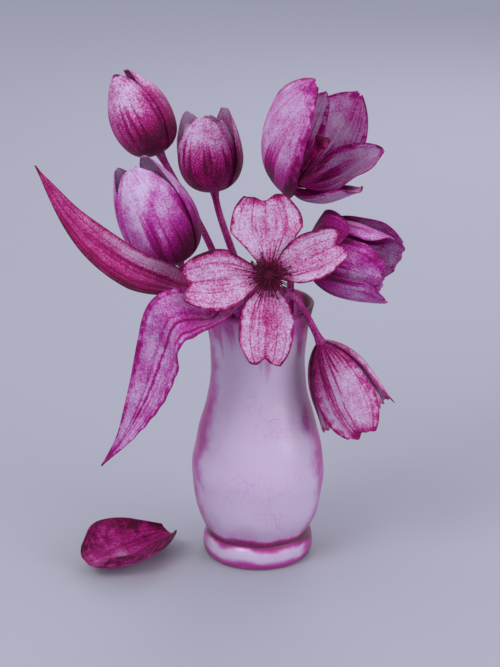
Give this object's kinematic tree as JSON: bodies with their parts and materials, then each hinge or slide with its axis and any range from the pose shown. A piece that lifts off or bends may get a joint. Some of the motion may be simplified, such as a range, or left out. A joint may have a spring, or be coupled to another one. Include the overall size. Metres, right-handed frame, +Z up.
{
  "type": "wilted bouquet in a vase",
  "caption": "Drooping tulips and one wide-open four-petalled bloom with limp leaves in a waisted glazed vase, and a fallen petal beside its foot.",
  "frame": {"origin": "centre of the underside of the vase's foot, on the surface that the vase stands on", "axes": "+Z up out of the vase, -Y towards the front, where the open bloom faces, +X to the right seen from the front"},
  "size_m": [0.2547, 0.1512, 0.3584],
  "materials": {
    "glaze": "glossy pale lilac glaze, pooled magenta at the foot, neck and lip",
    "stem": "limp plant stem, satin, faintly ribbed",
    "leaf": "limp leaf, satin, with long parallel veins",
    "petal": "soft wilting petal, wine dark at the base and pale at the tip",
    "pale_petal": "pale thin petal with dark streaks, rim and notch",
    "heart": "near-black pistils and stamens, matt",
    "fallen_petal": "withered petal, dark rolled edges"
  },
  "bodies": {
    "root": {"vase": "glaze", "back_tulip_stem": "stem", "big_tulip_stem": "stem", "front_bloom_stem": "stem", "hanging_tulip_stem": "stem", "high_bud_stem": "stem", "open_tulip_stem": "stem", "side_tulip_stem": "stem", "drooping_leaf": "leaf", "swept_leaf": "leaf", "back_tulip_inner_petal_1": "petal", "back_tulip_inner_petal_2": "petal", "back_tulip_inner_petal_3": "petal", "back_tulip_outer_petal_1": "petal", "back_tulip_outer_petal_2": "petal", "back_tulip_outer_petal_3": "petal", "big_tulip_inner_petal_1": "petal", "big_tulip_inner_petal_2": "petal", "big_tulip_inner_petal_3": "petal", "big_tulip_outer_petal_1": "petal", "big_tulip_outer_petal_2": "petal", "big_tulip_outer_petal_3": "petal", "hanging_tulip_inner_petal_1": "petal", "hanging_tulip_inner_petal_2": "petal", "hanging_tulip_inner_petal_3": "petal", "hanging_tulip_outer_petal_1": "petal", "hanging_tulip_outer_petal_2": "petal", "hanging_tulip_outer_petal_3": "petal", "high_bud_inner_petal_1": "petal", "high_bud_inner_petal_2": "petal", "high_bud_inner_petal_3": "petal", "high_bud_outer_petal_1": "petal", "high_bud_outer_petal_2": "petal", "high_bud_outer_petal_3": "petal", "open_tulip_inner_petal_1": "petal", "open_tulip_inner_petal_2": "petal", "open_tulip_outer_petal_1": "petal", "open_tulip_outer_petal_2": "petal", "open_tulip_outer_petal_3": "petal", "side_tulip_inner_petal_1": "petal", "side_tulip_inner_petal_2": "petal", "side_tulip_inner_petal_3": "petal", "side_tulip_outer_petal_1": "petal", "side_tulip_outer_petal_2": "petal", "side_tulip_outer_petal_3": "petal", "front_bloom_bottom_petal": "pale_petal", "front_bloom_left_petal": "pale_petal", "front_bloom_right_petal": "pale_petal", "front_bloom_top_petal": "pale_petal", "front_bloom_heart": "heart", "hanging_tulip_pistil": "heart", "open_tulip_pistil": "heart", "side_tulip_pistil": "heart", "fallen_petal": "fallen_petal"}
  },
  "joints": []
}
